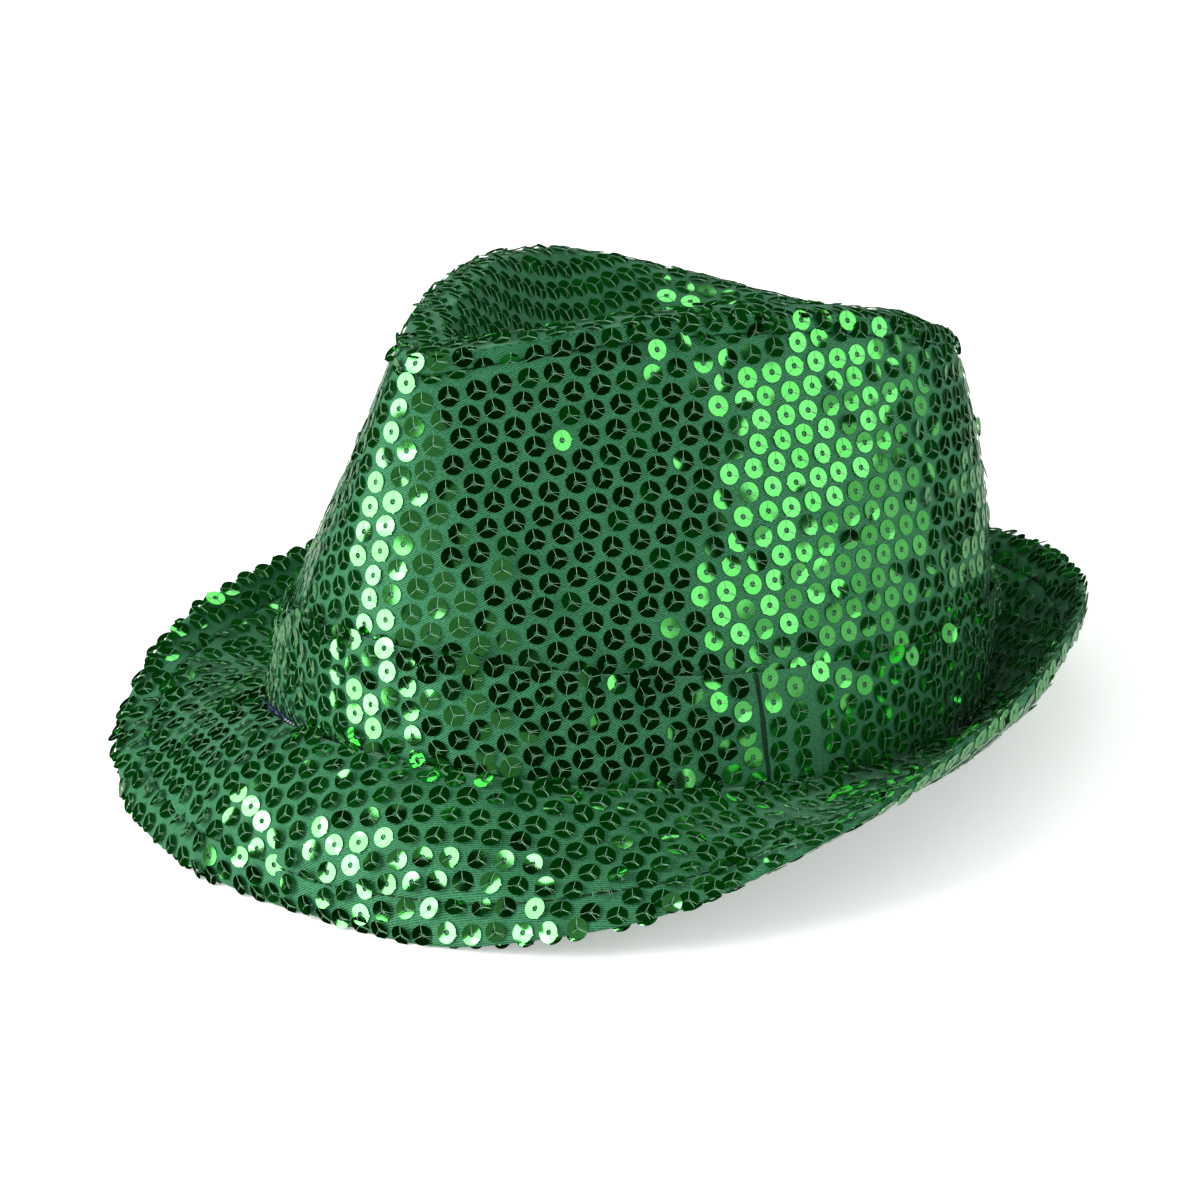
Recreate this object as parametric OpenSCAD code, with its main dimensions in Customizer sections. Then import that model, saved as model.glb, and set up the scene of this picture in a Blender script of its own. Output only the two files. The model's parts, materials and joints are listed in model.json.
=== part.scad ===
// Sequinned trilby: a soft cut-and-sewn party hat.
// The hat's own frame has the head opening level, the front towards -Y and the
// wearer's left towards +X. Every outline is a value at the front, at the sides
// and at the back, blended round the head by around(). The finished hat is then
// pitched and lifted so that it stands on a table as it would if put down.

/* [Head opening] */
// Outside length of the crown at its foot, front to back
head_length = 206; // [190:1:220]
// Outside width of the crown at its foot
head_width = 168; // [156:1:184]
// How much narrower the foot is behind the ears than in front of them
head_taper = 0.05; // [0:0.01:0.1]
// Height of the foot's line at the front, above the level plane
foot_front = 5.8; // [0:0.1:8]
// Height of the foot's line at the sides
foot_side = -2.3; // [-4:0.1:2]
// Height of the foot's line at the back
foot_back = -1.2; // [-4:0.1:2]

/* [Crown] */
// Height of the rim seam at the front
rim_front = 103; // [90:0.5:115]
// Height of the rim seam at the sides
rim_side = 108.5; // [95:0.5:120]
// Height of the rim seam at the back
rim_back = 84; // [75:0.5:110]
// Half width of the teardrop tip at its middle
tip_half_width = 52.5; // [44:0.5:60]
// Share by which the tip's nose narrows and its back widens
tip_taper = 0.54; // [0.1:0.02:0.6]
// Half length of the tip
tip_half_length = 86; // [76:0.5:92]
// How far the tip's middle lies behind the middle of the head
tip_back_set = 1.5; // [0:0.5:12]
// How far the side swells out between foot and rim
side_swell = 5.4; // [0:0.2:8]
// Depth of the two finger pinches in the sides
pinch_depth = 4; // [0:0.5:8]
// Angle of each pinch from the wearer's side, towards the front
pinch_angle = 50; // [30:1:60]

/* [Crease] */
// Depth of the crease along the tip
crease_depth = 30; // [10:1:34]
// Height of the padded ridge inside the rim, at the front
ridge_front = 2; // [0:0.1:6]
// Height of that ridge at the sides
ridge_side = 2.3; // [0:0.1:6]
// Rise of the tip inside the rim at the back
ridge_back = 11; // [2:0.5:14]
// Width of that ridge at the front, as a share of the way from the tip's middle to its rim
ridge_run_front = 0.24; // [0.1:0.01:0.4]
// Width of that ridge at the sides, as the same share
ridge_run_side = 0.24; // [0.1:0.01:0.4]
// Width of the rise at the back, as the same share
ridge_run_back = 0.3; // [0.1:0.01:0.4]
// Distance from the back of the tip at which the crease reaches full depth
crease_run = 110; // [90:1:130]
// Where the crease's wall begins at the front, as the same share
crease_top_front = 0.82; // [0.6:0.01:0.95]
// Where the crease's wall begins at the sides
crease_top_side = 0.86; // [0.6:0.01:0.95]
// Where the crease's wall begins at the back
crease_top_back = 0.92; // [0.6:0.01:0.95]
// Width of the crease's walls, as the same share
crease_wall = 0.42; // [0.25:0.01:0.6]

/* [Brim] */
// Brim width at the front
brim_front = 46; // [38:0.5:55]
// Brim width at the sides
brim_side = 40.5; // [34:0.5:50]
// Brim width at the back
brim_back = 35; // [28:0.5:45]
// Slope where the brim leaves the crown, at the front
root_front = -22; // [-40:1:0]
// Slope where the brim leaves the crown, at the sides
root_side = -4; // [-10:1:20]
// Slope where the brim leaves the crown, at the back
root_back = 66; // [30:1:70]
// Slope at the brim's edge, at the front
edge_front = -100; // [-104:1:-50]
// Slope at the brim's edge, at the sides
edge_side = 64; // [20:1:75]
// Slope at the brim's edge, at the back
edge_back = 24; // [15:1:60]

/* [Cloth and trim] */
// Thickness of the sequin cloth's satin base
cloth = 0.6; // [0.4:0.05:0.8]
// Thickness of the crown's and brim's stiffener
stiffener = 0.8; // [0.5:0.05:1]
// Thickness of the lining
lining = 0.3; // [0.2:0.05:0.4]
// Height of the hatband
band_height = 30; // [20:1:36]
// Height of the sweatband inside
sweatband_height = 28; // [20:1:34]
// Thickness of the sweatband and of the doubled hatband
band_thick = 0.7; // [0.5:0.05:0.8]
// Distance of the crown's topstitch below the rim seam
crown_stitch = 4.5; // [3:0.5:8]
// Distance of the brim's topstitch from its edge
brim_stitch = 10; // [5:0.5:14]
// Angle of the hatband's join from the wearer's left, towards the front
join_angle = 22; // [0:1:60]
// Width and height of the care label
label_size = [22, 26]; // [10:1:40]

/* [Quality] */
// Facets round the head
facets = 60; // [36:12:72]

/* [Hidden] */
ease = 0.05;                      // gap between layers that lie on each other
thread = 0.3;                     // thickness of sewing thread
root_gap = 2;                     // room at the foot for band and brim, filled by the seam
crown_in = cloth + ease;          // depths below the crown's outer face
lining_in = crown_in + stiffener + 0.3;
sweat_in = lining_in + lining + 0.2;
half_brim = stiffener / 2;        // brim layers lie either side of its middle surface
mitre = 0.2;                      // clear of the rim seam, top and side
pinch_spread = 22;                // degrees over which a pinch fades
foot_a = head_width / 2;
foot_b = head_length / 2;
tip_end = tip_back_set + tip_half_length;
tip_middle = tip_back_set - 10;

// ---- blends ----

// A value given at the front (-90), the sides (0, 180) and the back (90)
function around(front, side, back, t) =
    (front + back) / 4 + side / 2 + (back - front) / 2 * sin(t)
    + (side / 2 - (front + back) / 4) * cos(2 * t);
function clip(x) = min(1, max(0, x));
function ease_in(x) = clip(x) * clip(x) * (3 - 2 * clip(x));
function turn(t, at) = (t - at + 540) % 360 - 180;
function hump(x, spread) = exp(-pow(x / spread, 2));
function unit(p) = p / norm(p);
function shift(p, h, z) = [p.x + h.x, p.y + h.y, p.z + z];

// ---- the hat's forms, at angle t and depth d below the outer face ----

function foot_out(t) = unit([cos(t) / foot_a, sin(t) / foot_b]);
function foot(t, d) = shift(
    [foot_a * cos(t) * (1 - head_taper * sin(t)), foot_b * sin(t),
     around(foot_front, foot_side, foot_back, t)],
    -d * foot_out(t), 0);

function rim_plan(t) = [tip_half_width * cos(t) * (1 + tip_taper * sin(t)),
                        tip_back_set + tip_half_length * sin(t)];
function rim_out(t) = let (e = rim_plan(t + 1) - rim_plan(t - 1)) unit([e.y, -e.x]);
function rim(t, d) = let (p = rim_plan(t) - d * rim_out(t))
    [p.x, p.y, around(rim_front, rim_side, rim_back, t) - d];

// The two finger pinches, strongest two thirds of the way up
function pinch(t, v) = pinch_depth * min(1, 4 * v) * (1 - pow(v, 4)) * hump(v - 0.7, 0.3)
    * (hump(turn(t, -pinch_angle), pinch_spread) + hump(turn(t, 180 + pinch_angle), pinch_spread));
function side_length(t) = norm(rim(t, 0) - foot(t, 0));
function side(t, v, d) = shift((1 - v) * foot(t, d) + v * rim(t, d),
    (4 * side_swell * v * (1 - v) - pinch(t, v)) * foot_out(t), 0);
side_up = function (t, mm, d) side(t, mm / side_length(t), d);
side_down = function (t, mm, d) side(t, 1 - mm / side_length(t), d);
side_share = function (t, v, d) side(t, v, d);

// The tip, from its middle (r = 0) to the rim seam (r = 1)
function crease(y) = crease_depth * (1 - ease_in((y - tip_end + crease_run) / (crease_run - 15)));
function tip_face(t, r) = let (
        e = rim(t, 0),
        y = tip_middle + (e.y - tip_middle) * r,
        edge = ease_in(2 * r),
        run = around(ridge_run_front, ridge_run_side, ridge_run_back, t),
        ridge = around(ridge_front, ridge_side, ridge_back, t) * sin(90 * clip((1 - r) / run)),
        top = around(crease_top_front, crease_top_side, crease_top_back, t),
        level = (rim_front + rim_back) / 4 + rim_side / 2 + ridge_side * 2)
    [e.x * r, y, (e.z + ridge) * edge + level * (1 - edge)
        - crease(y) * (1 - ease_in((r - top) / crease_wall + 1))];
function tip_up(t, r) = r < 0.05 ? [0, 0, 1] :
    unit(cross(tip_face(t, r + 0.01) - tip_face(t, r - 0.01), tip_face(t + 1, r) - tip_face(t - 1, r)));
// Layers lie square below the face, and meet the side's layers in a mitre at the rim
function tip(t, r, d) = let (w = ease_in((r - 0.86) / 0.14), out = rim_out(t))
    tip_face(t, r) - d * ((1 - w) * tip_up(t, r) + w * [out.x, out.y, 1]);

// The brim is an arc whose slope runs evenly from root to edge
function brim_width(t) = around(brim_front, brim_side, brim_back, t);
function brim_bend(t) = let (k = around(edge_front, edge_side, edge_back, t)
        - around(root_front, root_side, root_back, t)) abs(k) < 0.5 ? 0.5 : k;
brim = function (t, u, h) let (
        w = brim_width(t), k = brim_bend(t), reach = w / (k * PI / 180),
        a = around(root_front, root_side, root_back, t), b = a + k * u,
        out = foot_out(t))
    shift(foot(t, 0), (root_gap + reach * (sin(b) - sin(a)) - h * sin(b)) * out,
          reach * (cos(a) - cos(b)) + h * cos(b));
brim_from_edge = function (t, mm, h) brim(t, 1 - mm / brim_width(t), h);

// ---- solids from curved forms ----

function steps(n) = [for (i = [0 : n - 1]) -90 + 360 * i / n];
function flat(rows) = [for (row = rows) each row];
function quad(a, b, c, d) = [[a, b, c], [a, c, d]];

// A closed ring between depths outer and inner of a curved form, from v0 to v1
module ring(form, v0, v1, rows, outer, inner) {
    n = facets;
    m = rows + 1;
    points = [for (d = [outer, inner], k = [0 : rows], t = steps(n))
        form(t, v0 + (v1 - v0) * k / rows, d)];
    function at(skin, k, i) = (skin * m + k) * n + i % n;
    faces = concat(
        [for (k = [0 : rows - 1], i = [0 : n - 1])
            each quad(at(0, k, i), at(0, k + 1, i), at(0, k + 1, i + 1), at(0, k, i + 1))],
        [for (k = [0 : rows - 1], i = [0 : n - 1])
            each quad(at(1, k, i), at(1, k, i + 1), at(1, k + 1, i + 1), at(1, k + 1, i))],
        [for (i = [0 : n - 1])
            each quad(at(0, 0, i), at(0, 0, i + 1), at(1, 0, i + 1), at(1, 0, i))],
        [for (i = [0 : n - 1])
            each quad(at(0, rows, i), at(1, rows, i), at(1, rows, i + 1), at(0, rows, i + 1))]);
    polyhedron(points, faces);
}

// A closed patch of a curved form between angles t0 and t1
module patch(form, t0, t1, columns, v0, v1, rows, outer, inner) {
    n = columns + 1;
    m = rows + 1;
    points = [for (d = [outer, inner], k = [0 : rows], i = [0 : columns])
        form(t0 + (t1 - t0) * i / columns, v0 + (v1 - v0) * k / rows, d)];
    function at(skin, k, i) = (skin * m + k) * n + i;
    faces = concat(
        [for (k = [0 : rows - 1], i = [0 : columns - 1])
            each quad(at(0, k, i), at(0, k + 1, i), at(0, k + 1, i + 1), at(0, k, i + 1))],
        [for (k = [0 : rows - 1], i = [0 : columns - 1])
            each quad(at(1, k, i), at(1, k, i + 1), at(1, k + 1, i + 1), at(1, k + 1, i))],
        [for (i = [0 : columns - 1])
            each quad(at(0, 0, i), at(0, 0, i + 1), at(1, 0, i + 1), at(1, 0, i))],
        [for (i = [0 : columns - 1])
            each quad(at(0, rows, i), at(1, rows, i), at(1, rows, i + 1), at(0, rows, i + 1))],
        [for (k = [0 : rows - 1])
            each quad(at(0, k, 0), at(1, k, 0), at(1, k + 1, 0), at(0, k + 1, 0))],
        [for (k = [0 : rows - 1])
            each quad(at(0, k, columns), at(0, k + 1, columns), at(1, k + 1, columns), at(1, k, columns))]);
    polyhedron(points, faces);
}

// The tip between depths outer and inner, closed over its middle
module tip_sheet(outer, inner) {
    n = facets;
    reach = [1, 0.95, 0.89, 0.82, 0.75, 0.68, 0.6, 0.52, 0.44, 0.25];
    m = len(reach);
    points = concat(
        [for (d = [outer, inner], r = reach, t = steps(n)) tip(t, r * (1 - mitre / 60), d)],
        [tip(0, 0, outer), tip(0, 0, inner)]);
    function at(skin, k, i) = (skin * m + k) * n + i % n;
    faces = concat(
        [for (k = [0 : m - 2], i = [0 : n - 1])
            each quad(at(0, k, i), at(0, k + 1, i), at(0, k + 1, i + 1), at(0, k, i + 1))],
        [for (k = [0 : m - 2], i = [0 : n - 1])
            each quad(at(1, k, i), at(1, k, i + 1), at(1, k + 1, i + 1), at(1, k + 1, i))],
        [for (i = [0 : n - 1])
            each quad(at(0, 0, i), at(0, 0, i + 1), at(1, 0, i + 1), at(1, 0, i))],
        [for (i = [0 : n - 1]) [at(0, m - 1, i), 2 * m * n, at(0, m - 1, i + 1)]],
        [for (i = [0 : n - 1]) [at(1, m - 1, i), at(1, m - 1, i + 1), 2 * m * n + 1]]);
    polyhedron(points, faces);
}

// ---- standing on the table ----

under_face = -half_brim - ease - cloth;
soles = [for (t = steps(facets), u = [0 : 0.1 : 1]) brim(t, u, under_face)];
front_low = min([for (p = soles) if (p.y < 0) p.z]);
front_sole = [for (p = soles) if (p.y < 0 && p.z == front_low) p][0];
rest_pitch = min([for (p = soles) if (p.y > 0) atan2(p.z - front_sole.z, p.y - front_sole.y)]);
function pitched(p) = [p.y * cos(rest_pitch) + p.z * sin(rest_pitch),
                       p.z * cos(rest_pitch) - p.y * sin(rest_pitch)];
hem = [for (t = steps(facets), h = [under_face, -under_face]) pitched(brim(t, 1, h))];
lift = -min(concat([for (p = soles) pitched(p)[1]], [for (p = hem) p[1]]));
centre_y = (min([for (p = hem) p[0]]) + max([for (p = hem) p[0]])) / 2;

module stand() {
    translate([0, -centre_y, lift]) rotate([-rest_pitch, 0, 0]) children();
}

// ---- the pieces ----

green = [0.10, 0.45, 0.28];
dark = [0.03, 0.12, 0.08];
navy = [0.03, 0.05, 0.16];

module crown_side() {
    color(green) stand() ring(side_share, 0.002, 0.998, 6, 0, cloth);
}
module crown_tip() {
    color(green) stand() tip_sheet(0, cloth);
}
module crown_side_stiffener() {
    color("white") stand() ring(side_share, 0.004, 0.998, 6, crown_in, crown_in + stiffener);
}
module crown_tip_stiffener() {
    color("white") stand() tip_sheet(crown_in, crown_in + stiffener);
}
module lining_side() {
    color(dark) stand() ring(side_share, 0.006, 0.998, 6, lining_in, lining_in + lining);
}
module lining_tip() {
    color(dark) stand() tip_sheet(lining_in, lining_in + lining);
}
module tip_seam_thread() {
    color(navy) stand() ring(side_down, 5, 5 + thread, 1, lining_in - 0.25, lining_in - ease);
}
module crown_back_seam() {
    color(navy) stand() patch(side_share, 89.8, 90.2, 1, 0.03, 0.93, 6, lining_in - 0.25, lining_in - ease);
}
module crown_topstitch() {
    color(green) stand() ring(side_down, crown_stitch + thread, crown_stitch, 1, -ease - thread, -ease);
}
module hatband() {
    color(green) stand() ring(side_up, 0.4, band_height, 2, -ease - band_thick, -ease);
}
module hatband_end_fold() {
    color(green) stand() patch(side_up, -join_angle, -join_angle + 5, 2, 0.6, band_height - 0.4, 2,
        -2 * ease - 2 * band_thick + 0.2, -2 * ease - band_thick);
}
module brim_top() {
    color(green) stand() ring(brim, 0, 1, 5, half_brim + ease + cloth, half_brim + ease);
}
module brim_under() {
    color(green) stand() ring(brim, 0, 1, 5, -half_brim - ease, -half_brim - ease - cloth);
}
module brim_stiffener() {
    color("white") stand() ring(brim, 0.01, 0.985, 5, half_brim, -half_brim);
}
module brim_topstitch() {
    height = half_brim + cloth + 2 * ease;
    color(green) stand() {
        ring(brim_from_edge, brim_stitch, brim_stitch - thread, 1, height + thread, height);
        ring(brim_from_edge, brim_stitch, brim_stitch - thread, 1, -height, -height - thread);
    }
}
module base_overlock() {
    color(navy) stand() ring(function (t, z, d) shift(foot(t, d), [0, 0], z), -1, -0.1, 1, -0.95, 2.2);
}
module sweatband() {
    color(dark) stand() ring(side_up, 0.5, sweatband_height, 2, sweat_in, sweat_in + band_thick);
}
module sweatband_stitching() {
    color(navy) stand() ring(side_up, 2, 2 + thread, 1, sweat_in + band_thick + ease,
        sweat_in + band_thick + ease + thread);
}
module care_label() {
    reach = label_size.x / foot_a * 90 / PI;
    color("white") stand() patch(side_up, 60 - reach, 60 + reach, 3,
        sweatband_height + 1, sweatband_height + 1 + label_size.y, 2, sweat_in, sweat_in + lining);
}

crown_side();
crown_tip();
crown_side_stiffener();
crown_tip_stiffener();
lining_side();
lining_tip();
tip_seam_thread();
crown_back_seam();
crown_topstitch();
hatband();
hatband_end_fold();
brim_top();
brim_under();
brim_stiffener();
brim_topstitch();
base_overlock();
sweatband();
sweatband_stitching();
care_label();
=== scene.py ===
"""Sequinned trilby.

The cloth follows the same outlines as the CAD model, in the hat's own frame: millimetres, the head opening
level, the front towards -Y and the wearer's left towards +X. placed() pitches it and sets it where the CAD
model stands. Each panel is laid flat, the stitching lattice is drawn over its flat pattern, and every sequin
is carried back to the panel's place in space."""

import json

import bpy
import numpy as np
from mathutils import Matrix, Vector


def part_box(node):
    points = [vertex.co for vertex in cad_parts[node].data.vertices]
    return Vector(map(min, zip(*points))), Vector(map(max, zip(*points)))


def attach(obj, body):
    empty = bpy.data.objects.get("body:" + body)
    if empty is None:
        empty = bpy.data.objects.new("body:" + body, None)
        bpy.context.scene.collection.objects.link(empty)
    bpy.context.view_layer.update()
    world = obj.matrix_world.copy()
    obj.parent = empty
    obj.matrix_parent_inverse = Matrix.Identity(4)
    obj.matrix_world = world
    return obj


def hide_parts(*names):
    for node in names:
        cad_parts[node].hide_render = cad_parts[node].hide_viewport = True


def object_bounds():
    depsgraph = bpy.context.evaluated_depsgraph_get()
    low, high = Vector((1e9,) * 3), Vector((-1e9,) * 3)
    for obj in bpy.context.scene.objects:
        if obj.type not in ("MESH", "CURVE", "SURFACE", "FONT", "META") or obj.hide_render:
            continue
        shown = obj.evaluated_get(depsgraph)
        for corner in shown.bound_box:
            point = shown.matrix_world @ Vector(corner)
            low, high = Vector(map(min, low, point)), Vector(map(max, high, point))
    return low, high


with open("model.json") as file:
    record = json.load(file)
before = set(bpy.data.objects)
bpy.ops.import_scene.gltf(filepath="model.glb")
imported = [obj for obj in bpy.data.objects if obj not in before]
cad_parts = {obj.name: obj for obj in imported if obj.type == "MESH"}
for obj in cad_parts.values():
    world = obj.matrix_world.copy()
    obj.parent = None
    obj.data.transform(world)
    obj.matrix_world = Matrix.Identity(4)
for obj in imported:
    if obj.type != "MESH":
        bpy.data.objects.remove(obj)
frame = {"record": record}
CAD_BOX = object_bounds()
MM = 0.001
RNG = np.random.default_rng(7)
FULL = np.linspace(-270, 90, 241)  # round the hat, from the back seam to the back seam

# Outlines: a value at the front, at the sides and at the back
FOOT_WIDE, FOOT_LONG, FOOT_TAPER = 84, 103, 0.05
FOOT_HEIGHT = (5.8, -2.3, -1.2)
RIM_HEIGHT = (103, 108.5, 84)
TIP_WIDE, TIP_LONG, TIP_TAPER, TIP_SET = 52.5, 86, 0.54, 1.5
RIDGE = (2, 2.3, 11)
RIDGE_RUN = (0.24, 0.24, 0.3)
CREASE, CREASE_RUN, CREASE_FLAT = 30, 110, 15
TIP_MIDDLE = TIP_SET - 10  # what the tip's spokes run from
WALL_TOP, WALL_WIDE = (0.82, 0.86, 0.92), 0.42
SWELL, PINCH, PINCH_AT = 5.4, 4, 50
BRIM_WIDTH = (46, 40.5, 35)
ROOT_SLOPE = (-22, -4, 66)
EDGE_SLOPE = (-100, 64, 24)
ROOT_GAP = 2

# Layers and trim
CLOTH, STIFF, BRIM_STIFF = 0.5, 0.8, 0.7
LINING_IN, SEW_IN = 2.2, 1.95  # how far inside the crown's face the lining and the seams' sewing lie
HALF_BRIM = 0.45  # from the brim's middle to the back of its cloth
BAND_HIGH, BAND_THICK, HEM = 30, 0.7, 10
BAND_OFF, BAND_SLACK = 0.45, 0.8  # how far the hatband stands off the crown, and how much more at its top
JOIN_AT, END_WIDE = -22, 9  # where the hatband is joined, and how far round its folded end runs, in degrees
END_PER_DEGREE = 1.5  # millimetres along the hatband to a degree, at its join
SWEAT_HIGH, SWEAT_IN = 28, 2.25
EDGE_ROUND, ROLL_MORE = 2.2, 0.16  # the brim's rounded edge, and how much longer its cloth is than that
CROWN_STITCH, BRIM_STITCH = 4.5, 10  # the stitched rows: how far below the rim, and inside the brim's edge
STITCH, THREAD = 3.2, 0.22
SEAM_DOWN = 5.2  # the rim seam's own stitches, below the rim
LABEL_FROM, LABEL_TO, LABEL_HIGH = 52, 68, 27

# Sequins, in the lattice they are stitched on
SEQUIN_R, HOLE_R, SEQUIN_THICK = 2.62, 0.76, 0.1
COLUMN_GAP, ROW_GAP, LATTICE_START = 6.15, 6.35, 0.3
ROW_STIFF = 5
RUN_ON, SEAM_GAP = 2.6, 3.6  # how far the lattice runs on into seams, and the least spacing there
TIP_GAP = 4.0  # the least spacing on the tip, whose cloth is eased into a bowl
END_GAP = 4.8  # the least spacing between the hatband's own sequins and those on its folded end
SEAM_IN, EDGE_IN = 1.2, 1.3  # how near the middle of a sequin comes to a seam, and to the brim's edge
BAND_FROM, BAND_TO = 1.4, BAND_HIGH - 0.9  # the lowest and the highest sequins on the hatband
STRANDS = (20, 147, 262, 273)  # directions of the holding threads, from the column's upward direction

# Camera, in the hat's frame
LOOK_FROM, LOOK_UP, LOOK_ROLL, LOOK_FAR = 42.1, 14.4, 0.86, 1400
LENS, SENSOR = 161.3, 36
AIM_LEFT, AIM_DOWN = 10.4, 24.8  # from the middle of the crown to what the camera points at
CROWN_MIDDLE = 50  # its height
LAMPS_FAR, LAMPS_AIM = 1.4, 0.06  # the lights' distance and the height they face, in metres
GLOW = (0.15, 1, 0.3)  # the colour of the dim surroundings, as the cloth tints them


# ---- the hat's forms ----


def around(values, t):
    """A value at the front, the sides and the back, blended round the head."""
    front, side, back = values
    mean = (front + back) / 4
    a = np.radians(t)
    return mean + side / 2 + (back - front) / 2 * np.sin(a) + (side / 2 - mean) * np.cos(2 * a)


def smooth(x):
    x = np.clip(x, 0, 1)
    return x * x * (3 - 2 * x)


def hump(x, spread):
    """A bell of height 1 round x = 0."""
    return np.exp(-((x / spread) ** 2))


def turn(t, at):
    """How far round t lies from at, in degrees from -180 to 180."""
    return (t - at + 180) % 360 - 180


def unit(v):
    return v / np.linalg.norm(v, axis=-1, keepdims=True)


def waves(t, v, size):
    """A slow, seeded unevenness, as cloth has over a soft stiffener."""
    a = np.radians(t)
    return size * (np.sin(5 * a + 3 * v + 1) + np.sin(9 * a - 5 * v + 2) + np.sin(14 * a + 9 * v)) / 3


def foot_out(t):
    """Level and outward from the head opening."""
    a = np.radians(t)
    return unit(np.stack([np.cos(a) / FOOT_WIDE, np.sin(a) / FOOT_LONG, 0 * a], -1))


def foot(t):
    a = np.radians(t)
    wide = FOOT_WIDE * np.cos(a) * (1 - FOOT_TAPER * np.sin(a))
    return np.stack([wide, FOOT_LONG * np.sin(a), around(FOOT_HEIGHT, t)], -1)


def rim(t):
    a = np.radians(t)
    wide = TIP_WIDE * np.cos(a) * (1 + TIP_TAPER * np.sin(a))
    return np.stack([wide, TIP_SET + TIP_LONG * np.sin(a), around(RIM_HEIGHT, t)], -1)


def rim_out(t):
    e = rim(t + 1) - rim(t - 1)
    return unit(np.stack([e[..., 1], -e[..., 0], 0 * e[..., 0]], -1))


def run_along(line):
    """How far each point of a line lies from its first."""
    return np.concatenate([[0], np.cumsum(np.linalg.norm(np.diff(line, axis=0), axis=1))])


def side_length(t):
    return np.linalg.norm(rim(t) - foot(t), axis=-1)


def side(t, v, out=0.0):
    """The crown's side, from foot (v = 0) to rim seam (v = 1); out is measured outward from its face."""
    dent = hump(turn(t, -PINCH_AT), 22) + hump(turn(t, 180 + PINCH_AT), 22)
    dent = PINCH * np.minimum(1, 4 * v) * (1 - v**4) * hump(v - 0.7, 0.3) * dent
    swell = 4 * SWELL * v * (1 - v) - dent + waves(t, v, 0.5) * smooth(8 * v) * smooth(8 * (1 - v))
    at = foot(t) + (rim(t) - foot(t)) * v[..., None]
    return at + foot_out(t) * (swell + out)[..., None]


def crown_face(t, h):
    """The crown's side at height h along it, drawn in a little by the topstitch."""
    long = side_length(t)
    return side(t, h / long, -0.9 * hump(long - h - CROWN_STITCH, 0.7) - 0.5 * smooth((h - long + 1.2) / 1.2))


def tip_face(t, r):
    """The tip, from its middle (r = 0) to the rim seam (r = 1), with the crease let into it."""
    e = rim(t)
    y = TIP_MIDDLE + (e[..., 1] - TIP_MIDDLE) * r
    ridge = around(RIDGE, t) * np.sin(np.pi / 2 * np.clip((1 - r) / around(RIDGE_RUN, t), 0, 1))
    level = (RIM_HEIGHT[0] + RIM_HEIGHT[2]) / 4 + RIM_HEIGHT[1] / 2 + 2 * RIDGE[1]
    edge = smooth(2 * r)
    back = TIP_SET + TIP_LONG
    crease = CREASE * (1 - smooth((y - back + CREASE_RUN) / (CREASE_RUN - CREASE_FLAT)))
    inside_wall = 1 - smooth((r - around(WALL_TOP, t)) / WALL_WIDE + 1)
    z = (e[..., 2] + ridge) * edge + level * (1 - edge) - crease * inside_wall
    return np.stack([e[..., 0] * r, y, z + waves(t, 3 * r, 0.4) * smooth(3 * r) * smooth(6 * (1 - r))], -1)


def brim_at(t, u, h):
    """The brim, from root (u = 0) to edge (u = 1), at height h above its middle."""
    wide = around(BRIM_WIDTH, t)
    a = np.radians(around(ROOT_SLOPE, t))
    bend = np.radians(around(EDGE_SLOPE, t)) - a
    bend = np.where(abs(bend) < 0.01, 0.01, bend)
    b = a + bend * u
    reach = wide / bend
    over = ROOT_GAP + reach * (np.sin(b) - np.sin(a)) - h * np.sin(b)
    rise = reach * (np.cos(a) - np.cos(b)) + h * np.cos(b) + waves(t, u, 1.1) * smooth(1.5 * u)
    return foot(t) + foot_out(t) * over[..., None] + np.array([0, 0, 1]) * rise[..., None]


def brim_face(t, s, sign):
    """A face of the brim at distance s from its root; it rolls to the middle at the edge."""
    wide = around(BRIM_WIDTH, t)
    rolled = np.clip((s - wide + EDGE_ROUND) / (1 + ROLL_MORE) / EDGE_ROUND, 0, 1) * np.pi / 2
    high = HALF_BRIM + CLOTH - 0.5 * hump(wide - s - BRIM_STITCH, 0.7) + 0.25 * smooth((s - wide + 9) / 5)
    along = np.minimum(s, wide - EDGE_ROUND) + EDGE_ROUND * np.sin(rolled)
    return brim_at(t, along / wide, sign * high * np.maximum(np.cos(rolled), 0.05))


def fold_lift(t, h):
    """How far the hatband stands off the crown; it is slack at its top edge."""
    return BAND_OFF + BAND_SLACK * smooth(h / BAND_HIGH) * (1 + waves(t, h / 20, 0.8))


def band_face(t, h):
    long = side_length(t)
    return side(t, h / long, fold_lift(t, h) + BAND_THICK)


def end_face(t, h):
    """The folded end of the hatband, over the band; it thins out away from its fold."""
    away = np.clip((t - JOIN_AT) / END_WIDE, 0, 1)
    long = side_length(t)
    return side(t, h / long, fold_lift(t, h) + BAND_THICK + 1.0 * (1 - away) ** 0.5)


# ---- the hat's place ----

opening = Vector(frame["record"]["mounts"][0]["axis"])
PITCH = np.arctan2(opening.y, -opening.z)


def pitched(p):
    x, y, z = np.moveaxis(np.asarray(p, float), -1, 0)
    c, s = np.cos(PITCH), np.sin(PITCH)
    return np.stack([x, y * c + z * s, z * c - y * s], -1) * MM


def find_place():
    """The move that sets the pitched hat's foot on the CAD crown's foot."""
    t, v = np.meshgrid(FULL, np.linspace(0.002, 0.998, 30))
    made = pitched(side(t, v))
    low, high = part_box("crown_side")
    return np.array([0, high.y - made[..., 1].max(), low.z - made[..., 2].min()])


PLACE = find_place()
UPRIGHT = np.array([0, -np.sin(PITCH), np.cos(PITCH)])  # straight up from the table, in the hat's frame


def placed(p):
    return pitched(p) + PLACE


# ---- meshes ----


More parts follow.
